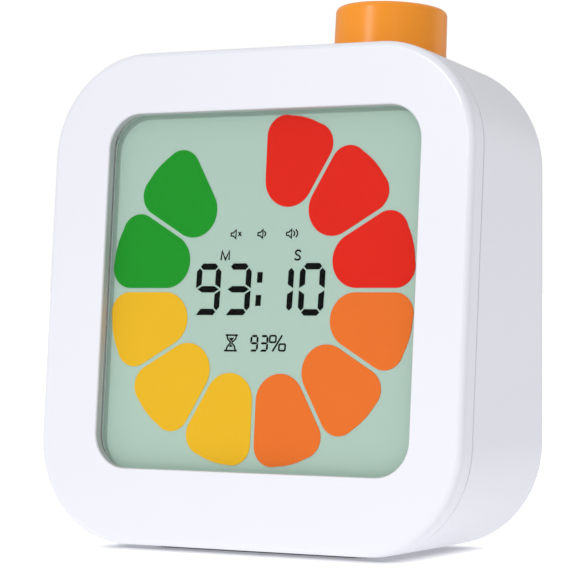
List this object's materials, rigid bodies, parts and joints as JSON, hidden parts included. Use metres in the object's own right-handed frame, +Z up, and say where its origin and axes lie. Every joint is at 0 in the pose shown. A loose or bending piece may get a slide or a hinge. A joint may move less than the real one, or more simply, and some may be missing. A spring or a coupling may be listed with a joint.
{
  "type": "visual countdown timer",
  "caption": "White countdown timer with a leaning, nearly square, round-cornered case and display, a ring of coloured petals, time digits and a turn-and-press knob on top",
  "frame": {"origin": "on the table, under the middle of the overall box", "axes": "X across the face to the right as seen from the front, Y from the face to the back, Z up; the face looks to -Y and leans back 5 degrees"},
  "size_m": [0.088, 0.0358, 0.0989],
  "materials": {
    "case_white": "satin moulded",
    "foot_rubber": "matte",
    "screw_steel": "zinc plated",
    "lens_clear": "clear polished",
    "gasket_foam": "closed-cell foam",
    "lcd_glass": "pale green-grey display face",
    "lcd_rear": "pale green-grey",
    "film_red": "printed film",
    "film_orange": "printed film",
    "film_yellow": "printed film",
    "film_green": "printed film",
    "diffuser_white": "milky",
    "frame_plastic": "moulded",
    "contact_rubber": "layered silicone",
    "board_green": "solder mask",
    "blob_black": "cured resin",
    "can_steel": "drawn can",
    "header_white": "moulded",
    "yoke_brass": "nickel-tinted",
    "encoder_plastic": "moulded",
    "rotor_plastic": "moulded",
    "shaft_steel": "turned",
    "nut_brass": "plated",
    "knob_orange": "satin moulded",
    "cell_can": "plain sleeve",
    "contact_metal": "nickel plated",
    "slider_plastic": "moulded, ribbed",
    "basket_plastic": "moulded",
    "cone_film": "pressed film",
    "magnet_iron": "plated"
  },
  "bodies": {
    "case": {"front_shell": "case_white", "rear_shell": "case_white", "rubber_feet": "foot_rubber", "case_screws": "screw_steel", "display_lens": "lens_clear", "display_gasket": "gasket_foam", "lcd_front_glass": "lcd_glass", "lcd_rear_glass": "lcd_rear", "petals_red": "film_red", "petals_orange": "film_orange", "petals_yellow": "film_yellow", "petals_green": "film_green", "backlight_panel": "diffuser_white", "lcd_frame": "frame_plastic", "contact_strip": "contact_rubber", "main_board": "board_green", "controller_blob": "blob_black", "crystal_can": "can_steel", "wire_header": "header_white", "board_screws": "screw_steel", "encoder_yoke": "yoke_brass", "encoder_base": "encoder_plastic", "encoder_washer": "screw_steel", "encoder_nut": "nut_brass", "encoder_board": "board_green", "battery_cells": "cell_can", "contact_bridge": "contact_metal", "contact_negative": "contact_metal", "contact_positive": "contact_metal", "volume_switch_can": "can_steel", "volume_board": "board_green", "volume_board_screws": "screw_steel", "speaker_basket": "basket_plastic", "speaker_cone": "cone_film", "speaker_magnet": "magnet_iron"},
    "knob": {"knob": "knob_orange", "encoder_shaft": "shaft_steel"},
    "rotor": {"encoder_rotor": "rotor_plastic"},
    "plunger": {"push_plunger": "rotor_plastic"},
    "slider": {"volume_slider": "slider_plastic"},
    "door": {"battery_door": "case_white"}
  },
  "joints": [
    {"name": "knob_turn", "type": "hinge", "parent": "case", "child": "rotor", "pos_m": [0.0189, 0.00435, 0.08943], "axis": [0, 0.0872, 0.9962], "continuous": true},
    {"name": "knob_press", "type": "slide", "parent": "rotor", "child": "knob", "axis": [0, -0.0872, -0.9962], "range_m": [0, 0.0005], "stiffness_N_per_m": 500, "springref_m": -0.003},
    {"name": "plunger_press", "type": "slide", "parent": "case", "child": "plunger", "axis": [0, -0.0872, -0.9962], "range_m": [0, 0.0005]},
    {"name": "volume_slide", "type": "slide", "parent": "case", "child": "slider", "axis": [1, 0, 0], "range_m": [-0.002, 0.002]},
    {"name": "battery_door_slide", "type": "slide", "parent": "case", "child": "door", "axis": [1, 0, 0], "range_m": [0, 0.0055]}
  ],
  "couplings": [
    {"joint": "plunger_press", "follows": "knob_press", "ratio": 1}
  ]
}
